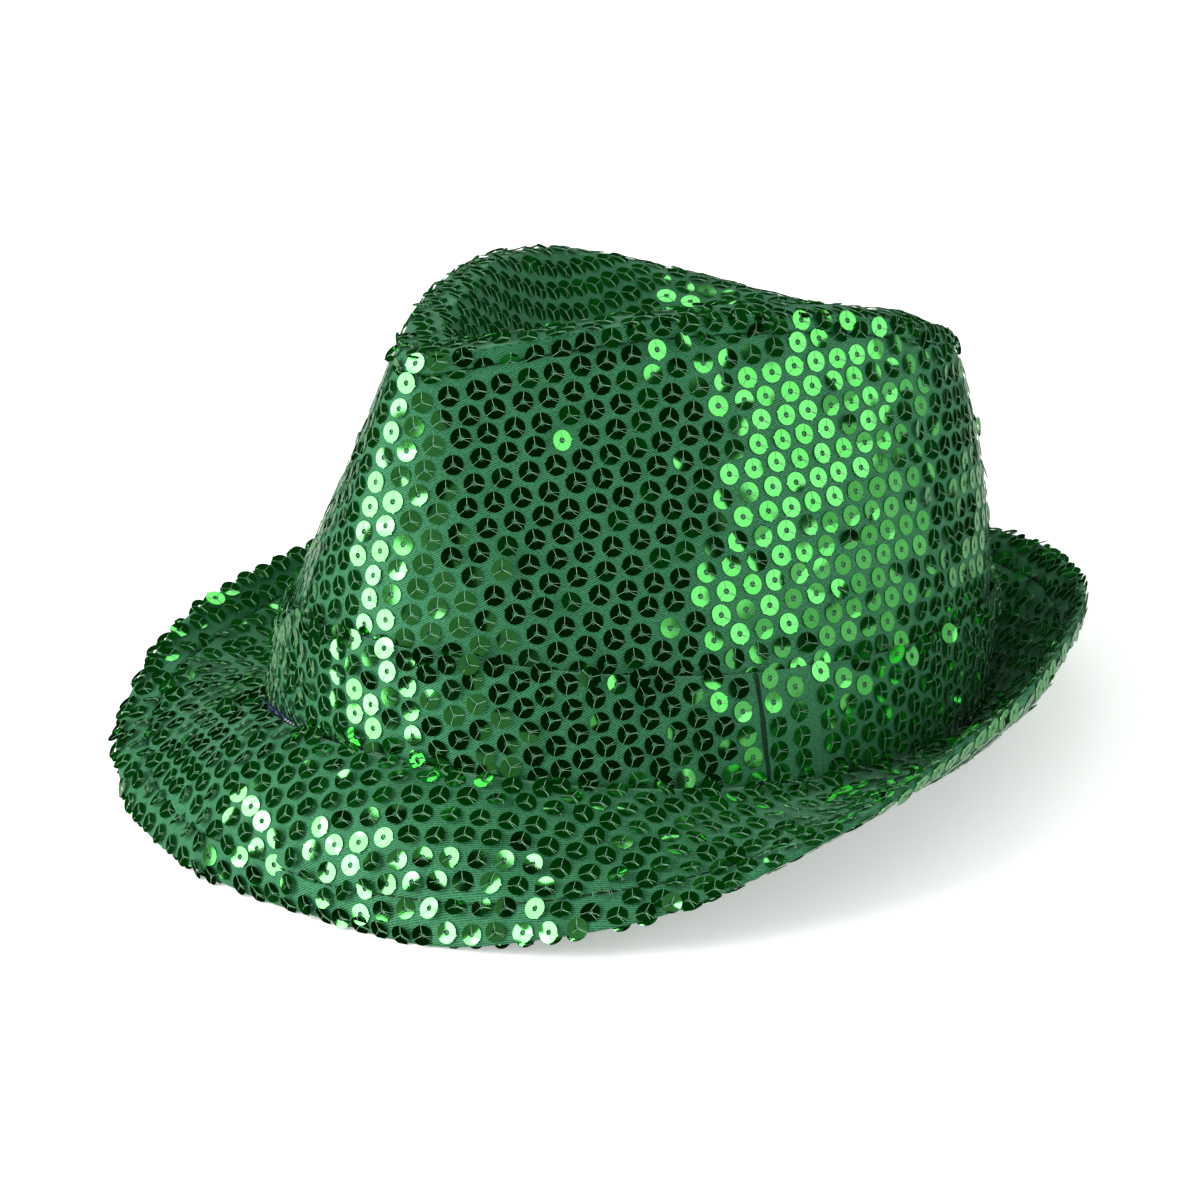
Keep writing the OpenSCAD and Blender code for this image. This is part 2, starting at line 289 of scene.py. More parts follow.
def make(name, points, faces, material, weave=None, tint=None):
    """A mesh piece; weave is its cloth's flat pattern, and tint a value at each point for its material."""
    mesh = bpy.data.meshes.new(name)
    mesh.from_pydata(points.reshape(-1, 3).tolist(), [], faces.tolist())
    mesh.materials.append(material)
    mesh.polygons.foreach_set("use_smooth", np.ones(len(mesh.polygons), bool))
    if weave is not None:
        flat = np.zeros((len(mesh.vertices), 3), np.float32)
        flat[:, :2] = weave.reshape(-1, 2)
        mesh.attributes.new("weave", "FLOAT_VECTOR", "POINT").data.foreach_set("vector", flat.ravel())
    if tint is not None:
        values = tint.astype(np.float32).ravel()
        mesh.attributes.new("tint", "FLOAT", "POINT").data.foreach_set("value", values)
    mesh.update()
    piece = bpy.data.objects.new(name, mesh)
    bpy.context.scene.collection.objects.link(piece)
    return piece


def grid_faces(rows, columns, flip=False):
    k, i = np.meshgrid(np.arange(rows - 1), np.arange(columns - 1), indexing="ij")
    a = (k * columns + i).ravel()
    faces = np.stack([a, a + 1, a + columns + 1, a + columns], -1)
    return faces[:, ::-1] if flip else faces


def sheet_of(name, points, material, weave, thick, flip=False):
    """A cloth panel from a grid of points in the hat's frame, given its thickness on the hidden side."""
    piece = make(name, placed(points), grid_faces(*points.shape[:2], flip), material, weave * MM)
    if thick:
        body = piece.modifiers.new("thickness", "SOLIDIFY")
        body.thickness, body.offset = thick * MM, -1
    return piece


def tubes(name, lines, radius, material, sides=4):
    """Thin threads along lines, an array of (threads, points, 3) in the hat's frame."""
    count, n = lines.shape[:2]
    along = unit(np.gradient(lines, axis=1))
    guide = np.where(abs(along[..., 2:3]) > 0.8, np.array([1.0, 0, 0]), np.array([0, 0, 1.0]))
    u = unit(np.cross(along, guide))
    w = np.cross(along, u)
    a = np.arange(sides) * 2 * np.pi / sides
    spoke = np.cos(a)[:, None] * u[:, :, None] + np.sin(a)[:, None] * w[:, :, None]
    ring = lines[:, :, None] + radius * spoke
    c, k, j = np.meshgrid(np.arange(count), np.arange(n - 1), np.arange(sides), indexing="ij")
    base = (c * n + k) * sides
    nxt = (j + 1) % sides
    faces = np.stack([base + j, base + nxt, base + sides + nxt, base + sides + j], -1).reshape(-1, 4)
    return make(name, placed(ring), faces, material)


# ---- laying cloth flat ----


def relax(flat, points, rounds, closed):
    """Moves the points of flat in the plane until each link between neighbours has its length in points.
    The links from row to row are the stiffest, so that a bowl's surplus goes into the width."""
    n, m = flat.shape[:2]
    links = []
    for dk, di, weight in ((0, 1, 1), (1, 0, ROW_STIFF), (1, 1, 1), (1, -1, 1)):
        k0, k1 = slice(0, n - dk), slice(dk, n)
        i0, i1 = (slice(0, m - di), slice(di, m)) if di >= 0 else (slice(1, m), slice(0, m - 1))
        links.append(((k0, i0), (k1, i1), np.linalg.norm(points[k1, i1] - points[k0, i0], axis=-1), weight))
    for _ in range(rounds):
        move, count = np.zeros_like(flat), np.zeros((n, m, 1))
        for a, b, rest, weight in links:
            gap = flat[b] - flat[a]
            length = np.linalg.norm(gap, axis=-1)
            pull = gap * (weight * 0.5 * (length - rest) / np.maximum(length, 1e-6))[..., None]
            move[a] += pull
            move[b] -= pull
            count[a] += weight
            count[b] += weight
        flat = flat + 1.3 * move / count
        if closed:
            flat[:, 0] = flat[:, -1] = (flat[:, 0] + flat[:, -1]) / 2
    return flat


def lay_flat(points, guess, closed=False):
    """The flat pattern of a panel, found first on a coarse part of its grid and then on all of it."""
    n, m = points.shape[:2]
    k = np.unique(np.linspace(0, n - 1, 14).astype(int))
    i = np.unique(np.linspace(0, m - 1, 49).astype(int))
    coarse = relax(guess[np.ix_(k, i)], points[np.ix_(k, i)], 900, closed)
    for axis, at, count in ((1, i, m), (0, k, n)):

        def fill(line, at=at, count=count):
            return np.interp(np.arange(count), at, line)

        coarse = np.apply_along_axis(fill, axis, coarse)
    return relax(coarse, points, 120, closed)


def lattice(flat, angle):
    """The stitching lattice's points over a flat pattern, and the pattern's upward direction."""
    c, s = np.cos(np.radians(angle)), np.sin(np.radians(angle))
    across, up = np.array([c, s]), np.array([-s, c])
    spots = flat.reshape(-1, 2)
    i0, i1 = (spots @ across).min() // COLUMN_GAP, (spots @ across).max() // COLUMN_GAP + 1
    j0, j1 = (spots @ up).min() // ROW_GAP, (spots @ up).max() // ROW_GAP + 1
    i, j = np.meshgrid(np.arange(i0, i1 + 1), np.arange(j0, j1 + 1))
    j = j + 0.5 * (i % 2) + LATTICE_START
    return (i[..., None] * COLUMN_GAP * across + j[..., None] * ROW_GAP * up).reshape(-1, 2), up


def run_on(grids, first=0, last=0):
    """Grids of (flat, points, params) with one more row past either end: the lattice runs on into a seam."""
    rows = np.linalg.norm(np.diff(grids[1], axis=0), axis=-1).mean(1).cumsum()
    k = 1 + int(np.searchsorted(rows, 2))
    j = -2 - int(np.searchsorted(rows[-1] - rows[::-1], 2))
    longer = []
    for g in grids:
        parts = [g]
        if first:
            step = np.linalg.norm(grids[1][0] - grids[1][k], axis=-1)[:, None]
            parts.insert(0, (g[0] + (g[0] - g[k]) * first / step)[None])
        if last:
            step = np.linalg.norm(grids[1][-1] - grids[1][j], axis=-1)[:, None]
            parts.append((g[-1] + (g[-1] - g[j]) * last / step)[None])
        longer.append(np.concatenate(parts))
    return longer


def spaced(places, forced, gap):
    """Which sequins stay, when a forced one is left out if it lies closer to another than gap."""
    stay = np.ones(len(places), bool)
    for k in np.flatnonzero(forced):
        near = np.linalg.norm(places - places[k], axis=1) < gap
        near[k] = False
        if (near & stay).any():
            stay[k] = False
    return stay


def settle(flat, points, params, angle):
    """Where the lattice meets the panel: (params, upward directions), params being the grid's (t, height)."""
    spots, up = lattice(flat, angle)
    corner = (slice(0, -1), slice(1, None))
    cells = [[g[a, b] for a, b in ((corner[0], corner[0]), (corner[0], corner[1]), (corner[1], corner[1]),
                                   (corner[1], corner[0]))] for g in (flat, points, params)]
    middle = sum(cells[0]).reshape(-1, 2) / 4
    found = {}
    for start in range(0, len(spots), 400):
        part = spots[start : start + 400]
        near = np.argpartition(((part[:, None] - middle[None]) ** 2).sum(-1), 40, axis=1)[:, :40]
        for tri in ((0, 1, 2), (0, 2, 3)):
            a, b, c = (cells[0][q].reshape(-1, 2)[near] for q in tri)
            e, f, g = b - a, c - a, part[:, None] - a
            area = e[..., 0] * f[..., 1] - e[..., 1] * f[..., 0]
            wb = (g[..., 0] * f[..., 1] - g[..., 1] * f[..., 0]) / area
            wc = (e[..., 0] * g[..., 1] - e[..., 1] * g[..., 0]) / area
            inside = (wb >= -1e-6) & (wc >= -1e-6) & (wb + wc <= 1 + 1e-6)
            for p, q in zip(*np.nonzero(inside)):
                if start + p in found:
                    continue
                cell, w = near[p, q], (1 - wb[p, q] - wc[p, q], wb[p, q], wc[p, q])
                corners3 = [cells[1][k].reshape(-1, 3)[cell] for k in tri]
                values = [cells[2][k].reshape(-1, 2)[cell] for k in tri]
                ub = (up[0] * f[p, q, 1] - up[1] * f[p, q, 0]) / area[p, q]
                uc = (e[p, q, 0] * up[1] - e[p, q, 1] * up[0]) / area[p, q]
                rise = ub * (corners3[1] - corners3[0]) + uc * (corners3[2] - corners3[0])
                found[start + p] = (sum(x * y for x, y in zip(w, values)), rise)
    params = np.array([v[0] for v in found.values()])
    return params, np.array([v[1] for v in found.values()])


# ---- sequins ----


def disc(sides=22):
    """One sequin, face up: a dished ring with a small nub where it was punched, and its thin rim and back."""
    a = np.arange(sides) * 2 * np.pi / sides
    a[1], a[-1] = 0.12, -0.12
    nub = 1 + 0.13 * (np.arange(sides) == 0)
    rings = [(HOLE_R, 0, 1), (1.6, 0, 1), (SEQUIN_R, 0, nub),
             (SEQUIN_R, 0, nub), (SEQUIN_R, -1, nub), (HOLE_R, -1, 1)]
    points = np.concatenate([np.stack([r * n * np.cos(a), r * n * np.sin(a), z * SEQUIN_THICK + 0 * a], -1)
                             for r, z, n in rings])
    faces = []
    for k in (0, 1, 3, 4):
        for i in range(sides):
            j = (i + 1) % sides
            faces.append([k * sides + i, (k + 1) * sides + i, (k + 1) * sides + j, k * sides + j])
    return points, np.array(faces)


def sequins(name, places, normals, ups, materials, lean, stray=0.08, crumple=1):
    """Sequins and their threads at places, in the hat's frame. lean is their usual tilt in degrees, stray the
    share that lean three times as far, and crumple how much they are dished and bent."""
    n = len(places)
    side_way = unit(np.cross(ups, normals))
    up_way = np.cross(normals, side_way)
    spread = np.radians(np.minimum(lean * np.where(RNG.random(n) < stray, 3, 1), 14))
    tilt = np.clip(spread[:, None] * RNG.standard_normal((n, 2)), -0.35, 0.35)
    face = unit(normals + tilt[:, :1] * side_way + tilt[:, 1:] * up_way)
    x = unit(np.cross(up_way, face))
    y = np.cross(face, x)
    places = places + 0.15 * RNG.standard_normal((n, 1)) * x + 0.15 * RNG.standard_normal((n, 1)) * y
    spin = RNG.choice([-50, -30, -110, 190, 10], n) + 12 * RNG.standard_normal(n)
    spin = np.radians(spin)
    cx = x * np.cos(spin)[:, None] + y * np.sin(spin)[:, None]
    cy = np.cross(face, cx)
    points, faces = disc()
    reach = (np.linalg.norm(points[:, :2], axis=1) / SEQUIN_R) ** 2
    saddle = np.cos(2 * np.arctan2(points[:, 1], points[:, 0]) + RNG.uniform(0, 6.3, (n, 1)))
    dish = reach * (RNG.uniform(-0.03, 0.13, (n, 1)) + 0.04 * RNG.standard_normal((n, 1)) * saddle) * crumple
    size = RNG.normal(1, 0.012, n)[:, None, None]
    lift = 0.2 + 0.85 * SEQUIN_R * np.linalg.norm(tilt, axis=1, keepdims=True)
    places = places + normals * lift
    world = (places[:, None] + face[:, None] * (points[None, :, 2:3] + dish[..., None])
             + size * (points[None, :, 0:1] * cx[:, None] + points[None, :, 1:2] * cy[:, None]))
    sunk = np.maximum(0, CAD_BOX[0][2] - placed(world)[..., 2].min(1)) / MM
    world = world + UPRIGHT * sunk[:, None, None]
    places = places + UPRIGHT * sunk[:, None]
    all_faces = (faces[None] + len(points) * np.arange(n)[:, None, None]).reshape(-1, 4)
    tint = np.repeat(RNG.random(n), len(points))
    discs = make(name + "_sequins", placed(world), all_faces, materials["sequin"], tint=tint)
    lines = []
    # a strand comes up through the hole, runs over the face and goes down past the rim: (out, up, drop)
    course = ((0.1, -0.1, 0), (0.7, 0.09, 0), (1.7, 0.12, 0),
              (SEQUIN_R - 0.1, 0.12, 0), (SEQUIN_R + 0.1, 0.02, 1))
    jitter = 5 * RNG.standard_normal((n, 1)) + 6 * RNG.standard_normal((n, len(STRANDS)))
    for q, strand in enumerate(STRANDS):
        a = np.radians(strand + 90 + jitter[:, q])
        way = x * np.cos(a)[:, None] + y * np.sin(a)[:, None]
        strand_line = [places + way * r + face * z - normals * lift * drop for r, z, drop in course]
        lines.append(np.stack(strand_line, 1))
    threads = tubes(name + "_sequin_threads", np.concatenate(lines), 0.05, materials["clear_thread"], sides=3)
    return discs, threads


def outward(form, params, sign=1):
    """The unit normal of form(t, s) at params."""
    t, s = params[:, 0], params[:, 1]
    step = 0.006 if form is tip_face else 0.3  # the tip's s is a share, the others' are millimetres
    dt = form(t + 0.3, s) - form(t - 0.3, s)
    ds = form(t, s + step) - form(t, s - step)
    return sign * unit(np.cross(dt, ds))


# ---- materials ----


def material(name, slot, colour, rough, **sockets):
    """A material; sockets are further values of its shader, with _ for a space in their names."""
    m = bpy.data.materials.new(name)
    m.use_nodes = True
    shader = m.node_tree.nodes["Principled BSDF"]
    shader.inputs["Base Color"].default_value = (*colour, 1)
    shader.inputs["Roughness"].default_value = rough
    for key, value in sockets.items():
        shader.inputs[key.replace("_", " ")].default_value = value
    m["slot"] = slot
    return m


def weave(m, colour_low, colour_high, period, strength, turned=(0, 0, 1.0)):
    """A fine diagonal weave along the cloth's own flat pattern, in colour and relief."""
    nodes, links = m.node_tree.nodes, m.node_tree.links
    shader = nodes["Principled BSDF"]
    at = nodes.new("ShaderNodeAttribute")
    at.attribute_name = "weave"
    turn_node = nodes.new("ShaderNodeMapping")
    turn_node.inputs["Rotation"].default_value = turned
    twill = nodes.new("ShaderNodeTexWave")
    twill.inputs["Scale"].default_value = 2 * np.pi / 20 / (period * MM)
    twill.inputs["Distortion"].default_value = 1.2
    twill.inputs["Detail"].default_value = 1
    grain = nodes.new("ShaderNodeTexNoise")
    grain.inputs["Scale"].default_value = 1 / (1.3 * period * MM)
    grain.inputs["Detail"].default_value = 3
    both = nodes.new("ShaderNodeMath")
    both.operation = "MULTIPLY_ADD"
    ramp = nodes.new("ShaderNodeValToRGB")
    ramp.color_ramp.elements[0].position, ramp.color_ramp.elements[1].position = 0.35, 0.9
    ramp.color_ramp.elements[0].color = (*colour_low, 1)
    ramp.color_ramp.elements[1].color = (*colour_high, 1)
    bump = nodes.new("ShaderNodeBump")
    bump.inputs["Strength"].default_value = strength
    bump.inputs["Distance"].default_value = 0.15 * MM
    links.new(at.outputs["Vector"], turn_node.inputs["Vector"])
    links.new(turn_node.outputs["Vector"], twill.inputs["Vector"])
    links.new(at.outputs["Vector"], grain.inputs["Vector"])
    links.new(twill.outputs["Fac"], both.inputs[0])
    both.inputs[1].default_value = 0.5
    links.new(grain.outputs["Fac"], both.inputs[2])
    links.new(both.outputs["Value"], ramp.inputs["Fac"])
    links.new(ramp.outputs["Color"], shader.inputs["Base Color"])
    links.new(both.outputs["Value"], bump.inputs["Height"])
    links.new(bump.outputs["Normal"], shader.inputs["Normal"])
    return m


def sequin_material():
    """Metallised film, a little darker or paler from sequin to sequin."""
    m = material("sequin_film", "sequin_cloth", (0.1, 0.5, 0.1), 0.09,
                 Metallic=1.0, Coat_Weight=0.12, Coat_Roughness=0.12)
    nodes, links = m.node_tree.nodes, m.node_tree.links
    at = nodes.new("ShaderNodeAttribute")
    at.attribute_name = "tint"
    ramp = nodes.new("ShaderNodeValToRGB")
    ramp.color_ramp.elements[0].color = (0.080, 0.47, 0.085, 1)
    ramp.color_ramp.elements[1].color = (0.125, 0.60, 0.140, 1)
    links.new(at.outputs["Fac"], ramp.inputs["Fac"])
    links.new(ramp.outputs["Color"], nodes["Principled BSDF"].inputs["Base Color"])
    return m


def make_materials():
    satin = material("sequin_cloth", "sequin_cloth", (0.03, 0.2, 0.1), 0.5, Specular_Tint=(0.2, 0.85, 0.4, 1),
                     Sheen_Weight=0.25, Sheen_Roughness=0.35, Sheen_Tint=(0.5, 1, 0.7, 1))
    weave(satin, (0.003, 0.024, 0.010), (0.046, 0.200, 0.090), 0.56, 1.0)
    lining = material("lining", "lining", (0.01, 0.06, 0.03), 0.35)
    weave(lining, (0.006, 0.05, 0.025), (0.012, 0.10, 0.05), 0.4, 0.25)
    ribbon = material("sweatband", "sweatband", (0.01, 0.02, 0.02), 0.6)
    weave(ribbon, (0.004, 0.012, 0.010), (0.014, 0.040, 0.030), 0.9, 0.9, (0, 0, 0))
    return {
        "cloth": satin,
        "lining": lining,
        "ribbon": ribbon,
        "felt": material("stiffener", "stiffener", (0.75, 0.74, 0.70), 0.95),
        "label": material("label", "label", (0.85, 0.85, 0.82), 0.4),
        "green_thread": material("green_thread", "green_thread", (0.003, 0.03, 0.015), 0.6),
        "navy_thread": material("navy_thread", "navy_thread", (0.01, 0.015, 0.09), 0.6),
        "clear_thread": material("clear_thread", "green_thread", (0.34, 0.60, 0.40), 0.3, Alpha=0.8),
        "sequin": sequin_material(),
    }


# ---- the pieces ----


def ride(piece, slot, *nodes):
    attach(piece, ROOT)
    if nodes:
        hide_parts(*nodes)
    return piece


def flat_area(flat):
    """Area of a flat pattern's cells, in square metres, and its size."""
    a, b = flat[1:, 1:] - flat[:-1, :-1], flat[1:, :-1] - flat[:-1, 1:]
    d = np.cross(a, b)
    span = (flat.reshape(-1, 2).max(0) - flat.reshape(-1, 2).min(0)) * MM
    return abs(d).sum() / 2 * MM * MM, span


def declare(flat):
    """Works out a sheet's flat-pattern area and size, and the smaller of its area and bounding box; the value
    isn't kept. Each is sewn all round, so it is stretched.
    """
    area, (w, h) = flat_area(flat)
    float(min(area, w * h))


def crown_side(mat):
    """The crown's side: its pattern is laid out from a cone, which it nearly is."""
    t, v = np.meshgrid(FULL, np.concatenate([np.linspace(0.004, 0.93, 34), np.linspace(0.937, 1, 16)]))
    h = v * side_length(t)
    points = crown_face(t, h)
    cone = 440  # its radius at the foot
    arc = run_along(foot(FULL))
    phi = (arc - np.interp(-90, FULL, arc))[None, :] / cone
    guess = np.stack([(cone - h) * np.sin(phi), (h - cone) * np.cos(phi)], -1)
    flat = lay_flat(points, guess)
    cloth = sheet_of("crown_side_cloth", points, mat["cloth"], flat, CLOTH)
    ride(cloth, "sequin_cloth", "crown_side")
    params, ups = settle(*run_on((flat, points, np.stack([t, h], -1)), last=RUN_ON), -6)
    long = side_length(params[:, 0])
    forced = params[:, 1] > long - SEAM_IN
    params[:, 1] = np.minimum(params[:, 1], long - SEAM_IN)
    keep = (params[:, 1] > BAND_HIGH - 3.5) & spaced(crown_face(*params.T), forced, SEAM_GAP)
    keep &= abs(turn(params[:, 0], 90)) > 1.6
    params, ups, long = params[keep], ups[keep], long[keep]
    normals = outward(crown_face, params)
    lean = 3 + 6 * hump(long - params[:, 1] - CROWN_STITCH, 2.5) + 5 * hump(params[:, 1] - BAND_HIGH, 4)
    discs, threads = sequins("crown_side", crown_face(*params.T), normals, ups, mat, lean)
    ride(discs, "sequin_cloth")
    ride(threads, "green_thread")
    declare(flat)


def crown_tip(mat):
    """The tip: its pattern is laid out spoke by spoke."""
    reach = np.concatenate([np.linspace(0.004, 0.8, 40), np.linspace(0.81, 1, 20)])
    t, r = np.meshgrid(FULL, reach)
    points = tip_face(t, r)
    spoke = np.concatenate([0 * points[:1, :, 0], np.linalg.norm(np.diff(points, axis=0), axis=-1).cumsum(0)])
    flat = lay_flat(points, unit(points[-1:, :, :2] - points[:1, :, :2]) * spoke[..., None], closed=True)
    cloth = sheet_of("crown_tip_cloth", points, mat["cloth"], flat, CLOTH, flip=True)
    ride(cloth, "sequin_cloth", "crown_tip")
    params, ups = settle(*run_on((flat, points, np.stack([t, r], -1)), last=RUN_ON), 0)
    reach = np.linalg.norm(rim(params[:, 0])[:, :2] - [0, TIP_MIDDLE], axis=1)
    params[:, 1] = np.minimum(params[:, 1], 1 - SEAM_IN / reach)
    keep = spaced(tip_face(*params.T), reach > 0, TIP_GAP)
    params, ups, reach = params[keep], ups[keep], reach[keep]
    edge = (1 - params[:, 1]) * reach
    normals = outward(tip_face, params, -1)
    lean = 2.5 + 2.5 * hump(edge, 4)
    discs, threads = sequins("crown_tip", tip_face(*params.T), normals, ups, mat, lean)
    ride(discs, "sequin_cloth")
    ride(threads, "green_thread")
    declare(flat)


def brim(mat, sign, name):
    """One cloth of the brim: its top (sign 1) or its underside (sign -1)."""
    t, u = np.meshgrid(FULL, np.concatenate([np.linspace(0.0, 0.7, 22), np.linspace(0.71, 1, 34)]))
    s = u * (around(BRIM_WIDTH, t) + ROLL_MORE * EDGE_ROUND)
    points = brim_face(t, s, sign)
    guess = (foot(t) + foot_out(t) * (ROOT_GAP + s)[..., None])[..., :2]
    flat = lay_flat(points, guess, closed=True)
    cloth = sheet_of(name + "_cloth", points, mat["cloth"], flat, CLOTH, flip=sign > 0)
    ride(cloth, "sequin_cloth", name)

    def face(t, s):
        return brim_face(t, s, sign)

    params, ups = settle(*run_on((flat, points, np.stack([t, s], -1)), RUN_ON, RUN_ON), 0)
    wide = around(BRIM_WIDTH, params[:, 0])
    low, high = SEAM_IN, wide - EDGE_IN
    forced = (params[:, 1] < low) | (params[:, 1] > high)
    params[:, 1] = np.clip(params[:, 1], low, high)
    keep = spaced(face(*params.T), forced, SEAM_GAP)
    params, ups, wide = params[keep], ups[keep], wide[keep]
    inset = wide - params[:, 1]
    normals = outward(face, params, -sign)
    top = sign > 0
    usual, at_stitch, stray, crumple = (8, 5, 0.12, 1.8) if top else (1.5, 1, 0.02, 0.8)
    lean = usual * (1 - 0.5 * hump(inset, 4)) + 3 * hump(params[:, 1], 4)
    lean = lean + at_stitch * hump(inset - BRIM_STITCH, 2.5)
    discs, threads = sequins(name, face(*params.T), normals, ups, mat, lean, stray, crumple)
    ride(discs, "sequin_cloth")
    ride(threads, "green_thread")
    declare(flat)


def end_grid():
    return np.meshgrid(np.linspace(JOIN_AT, JOIN_AT + END_WIDE, 24), np.linspace(0.6, BAND_HIGH + 0.3, 20))


def end_places():
    """Where the hatband's folded end carries its sequins: (params, upward directions)."""
    t, h = end_grid()
    flat = np.stack([(t - JOIN_AT) * END_PER_DEGREE + 3.4, h + 2.0], -1)  # shifted against the lattice
    params, ups = settle(*run_on((flat, end_face(t, h), np.stack([t, h], -1)), RUN_ON, RUN_ON), 1)
    forced = (params[:, 1] < BAND_FROM) | (params[:, 1] > BAND_TO)
    clear_of_fold = np.maximum(params[:, 0], JOIN_AT + 1.2)
    params = np.stack([clear_of_fold, np.clip(params[:, 1], BAND_FROM, BAND_TO)], -1)
    keep = spaced(end_face(*params.T), forced, SEAM_GAP)
    return params[keep], ups[keep]


def hatband(mat):
    """The hatband, turned in at its top edge and lying close at its bottom edge."""
    up, down = np.linspace(0.4, BAND_HIGH, 13), np.linspace(BAND_HIGH - 0.5, BAND_HIGH - HEM, 4)
    h = np.concatenate([up, down])
    sunk = np.concatenate([0.3 * hump(up, 2) + 0.3 * hump(BAND_HIGH - up, 1), 0.65 + 0 * down])
    t, h2 = np.meshgrid(FULL, h)
    points = band_face(t, h2) - foot_out(t) * sunk[:, None, None]
    arc = run_along(foot(FULL))
    run = np.concatenate([[0], np.cumsum(abs(np.diff(h)) + abs(np.diff(sunk)))])
    flat = np.stack(np.broadcast_arrays(arc[None, :], run[:, None]), -1)
    cloth = sheet_of("hatband_cloth", points, mat["cloth"], flat, 0)
    ride(cloth, "sequin_cloth", "hatband")
    rows = np.linspace(0.4, BAND_HIGH, 12)
    tg, hg = np.meshgrid(FULL, rows)
    grid = np.stack(np.broadcast_arrays(arc[None, :], rows[:, None]), -1)
    params, ups = settle(*run_on((grid, band_face(tg, hg), np.stack([tg, hg], -1)), RUN_ON, RUN_ON), 4)
    forced = (params[:, 1] < BAND_FROM) | (params[:, 1] > BAND_TO)
    params[:, 1] = np.clip(params[:, 1], BAND_FROM, BAND_TO)
    keep = spaced(band_face(*params.T), forced, SEAM_GAP)
    params, ups = params[keep], ups[keep]
    under = (params[:, 0] > JOIN_AT - 1.5) & (params[:, 0] < JOIN_AT + 0.8 * END_WIDE)
    end = band_face(*end_places()[0].T)
    crowded = np.linalg.norm(band_face(*params.T)[:, None] - end[None], axis=-1).min(1) < END_GAP
    params, ups = params[~(under | crowded)], ups[~(under | crowded)]
    lean = 4.5 + 5 * hump(BAND_HIGH - params[:, 1], 3) + 4 * hump(params[:, 1], 3)
    normals = outward(band_face, params)
    discs, threads = sequins("hatband", band_face(*params.T), normals, ups, mat, lean, stray=0.1, crumple=1.4)
    ride(discs, "sequin_cloth")
    ride(threads, "green_thread")
    declare(flat)


def hatband_end(mat):
    """The hatband's folded end with its sequins, and the dark tacking along the fold: a thick dark thread
    that is partly real tacking and partly painted shadow of the gap at the join.
    """
    t, h = end_grid()
    face = end_face(t, h)
    under = band_face(t[:, :1], h[:, :1]) + foot_out(t[:, :1]) * 0.1
    points = np.concatenate([under, face], 1)
    arc = (t - JOIN_AT) * END_PER_DEGREE
    arc = np.concatenate([arc[:, :1] - 1.2, arc], 1)
    flat = np.stack([arc, np.concatenate([h[:, :1], h], 1)], -1)
    cloth = sheet_of("hatband_end_cloth", points, mat["cloth"], flat, 0)
    ride(cloth, "sequin_cloth", "hatband_end_fold")
    params, ups = end_places()
    lean = np.full(len(params), 5.0)
    discs, threads = sequins("hatband_end", end_face(*params.T), outward(end_face, params), ups, mat, lean)
    ride(discs, "sequin_cloth")
    ride(threads, "green_thread")
    declare(flat)
    # a thick dark thread along the fold, partly real tacking and partly painted shadow of the gap at the join
    h = np.linspace(0.8, BAND_HIGH, 40)
    tack_and_shadow = band_face(JOIN_AT - 0.3 + 0.12 * np.sin(h / 3), h) + foot_out(JOIN_AT + 0 * h) * 0.25
    ride(tubes("hatband_join_shadow_thread", tack_and_shadow[None], 0.4, mat["green_thread"], sides=6), "green_thread")


def stitches(name, form, length, material, nodes, gap=0.7):
    """A row of single stitches along form(t), a closed line in the hat's frame; each dips into the cloth."""
    line, out = form(np.linspace(-270, 90, 1441))
    run = run_along(line)
    starts = np.arange(0, run[-1] - length, length)
    share = np.array([0.0, 0.12, 0.5, 0.88, 1.0])
    rise = np.array([-0.25, 0.12, 0.2, 0.12, -0.25])
    s = starts[:, None] + share * (length - gap)
    lines = np.stack([np.interp(s, run, line[:, k]) for k in range(3)], -1)
    ways = np.stack([np.interp(s, run, out[:, k]) for k in range(3)], -1)
    piece = tubes(name, lines + ways * rise[:, None], THREAD, material)
    return ride(piece, "green_thread", *nodes)


def crown_stitches(mat):
    def line(t):
        params = np.stack([t, side_length(t) - CROWN_STITCH], -1)
        return crown_face(*params.T), outward(crown_face, params)

    stitches("crown_topstitches", line, STITCH, mat["green_thread"], ["crown_topstitch"])


def brim_stitches(mat):
    for sign, name, nodes in ((1, "brim_topstitches", ["brim_topstitch"]), (-1, "brim_understitches", [])):

        def face(t, s, sign=sign):
            return brim_face(t, s, sign)

        def line(t, face=face, sign=sign):
            params = np.stack([t, around(BRIM_WIDTH, t) - BRIM_STITCH], -1)
            return face(*params.T), outward(face, params, -sign)

        stitches(name, line, STITCH, mat["green_thread"], nodes)


def base_overlock(mat):
    """The overlocked seam allowance between crown and brim. Its navy loops peep out at the front left."""
    loops = 420
    t = np.linspace(-270, 90, loops * 10 + 1)
    a = np.linspace(0, loops * 2 * np.pi, len(t))
    peep = 1.5 * hump(turn(t, -112), 9)
    out = 1.15 + 0.75 * np.cos(a) + peep
    up = -0.2 + 0.55 * np.sin(a) + 1.2 * peep
    line = foot(t) + foot_out(t) * out[:, None] + np.array([0, 0, 1]) * up[:, None]
    piece = tubes("base_overlock_thread", line[None], 0.17, mat["navy_thread"], sides=4)
    ride(piece, "navy_thread", "base_overlock")


